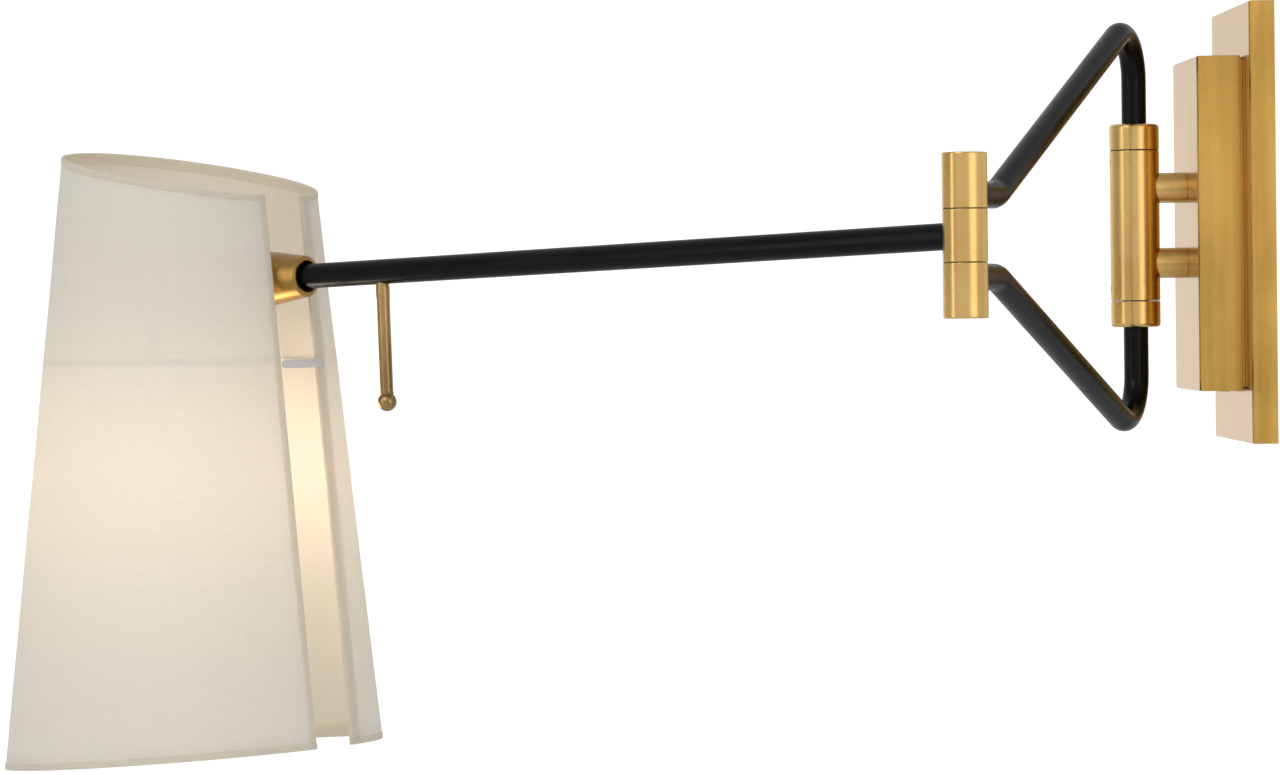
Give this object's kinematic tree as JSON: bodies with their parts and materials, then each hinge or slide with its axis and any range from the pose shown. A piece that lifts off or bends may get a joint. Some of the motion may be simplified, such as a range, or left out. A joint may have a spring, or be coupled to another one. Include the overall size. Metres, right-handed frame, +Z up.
{
  "type": "swing arm wall sconce",
  "caption": "Wall lamp with a plate and box, a barrel hinge, a bent tube frame, an elbow, a straight arm and a slotted linen shade that tilts on the arm.",
  "frame": {"origin": "centre of the wall plate's back face, midway between the crossbar's two wall box holes", "axes": "+Y into the wall, -Y out into the room, +Z up, +X to the left as seen from the room"},
  "size_m": [0.4192, 0.6696, 0.3992],
  "materials": {
    "antique_brass": "satin, aged",
    "black_paint": "satin black",
    "steel": "zinc plated",
    "earth_green": "green earth screw",
    "bush_bronze": "plain bearing bronze",
    "washer_plastic": "black nylon",
    "wire_insulation": "insulated lead",
    "connector_plastic": "moulded",
    "holder_plastic": "black phenolic",
    "contact_brass": "bright",
    "bulb_cap_metal": "rolled thread",
    "contact_ceramic": "unglazed",
    "white_wire": "white coated wire",
    "linen": "woven linen on a stiff backing",
    "linen_tape": "folded linen edge",
    "rim_steel": "flat band",
    "bulb_glass": "frosted",
    "filament": "lit rods"
  },
  "bodies": {
    "wall_mount": {"wall_plate": "antique_brass", "crossbar": "steel", "plate_screws": "steel", "earth_screw": "earth_green", "box_base": "antique_brass", "box_cover": "antique_brass", "cover_screws": "steel", "wire_connectors": "connector_plastic", "supply_leads": "wire_insulation", "upper_post": "antique_brass", "lower_post": "antique_brass", "post_washers": "steel", "post_nuts": "steel", "post_lead": "wire_insulation", "barrel": "antique_brass", "barrel_bushes": "bush_bronze", "tension_screws": "steel"},
    "swing_frame": {"spindle": "steel", "thrust_washers": "washer_plastic", "barrel_cap_top": "antique_brass", "barrel_cap_bottom": "antique_brass", "upper_tube": "black_paint", "lower_tube": "black_paint", "frame_lead": "wire_insulation", "elbow_knuckle_top": "antique_brass", "elbow_knuckle_bottom": "antique_brass", "elbow_pin": "steel", "elbow_nut": "steel", "elbow_plugs": "antique_brass", "elbow_washers": "washer_plastic"},
    "arm": {"elbow_knuckle_middle": "antique_brass", "elbow_bushes": "bush_bronze", "arm_tube": "black_paint", "arm_lead": "wire_insulation", "swivel_stem": "steel", "swivel_washer": "steel", "swivel_nut": "steel", "handle_rod": "antique_brass", "handle_ball": "antique_brass"},
    "head": {"hub": "antique_brass", "hub_back": "antique_brass", "hub_nipple": "steel", "nipple_nut": "antique_brass", "holder_cap": "antique_brass", "holder_lead": "wire_insulation", "holder_body": "holder_plastic", "holder_core": "contact_ceramic", "screw_shell": "contact_brass", "centre_contact": "contact_brass", "ring_nut": "antique_brass", "fitter": "white_wire", "shade_skin": "linen", "shade_edge_tape": "linen_tape", "top_band": "rim_steel", "bottom_band": "rim_steel", "bottom_inner_hem": "linen_tape", "slot_bridge": "linen_tape", "bulb_glass": "bulb_glass", "bulb_base": "bulb_cap_metal", "bulb_filament": "filament"}
  },
  "joints": [
    {"name": "frame_swing", "type": "hinge", "parent": "wall_mount", "child": "swing_frame", "pos_m": [0, -0.0645, 0], "axis": [0, 0, 1], "range_deg": [-156, 23]},
    {"name": "elbow_swing", "type": "hinge", "parent": "swing_frame", "child": "arm", "pos_m": [0.2609, -0.17794, -0.0076], "axis": [0, 0, 1], "range_deg": [-45, 254]},
    {"name": "head_tilt", "type": "hinge", "parent": "arm", "child": "head", "pos_m": [-0.04566, -0.56751, -0.02422], "axis": [-0.6181, -0.7854, -0.0335], "range_deg": [-40, 40]}
  ]
}
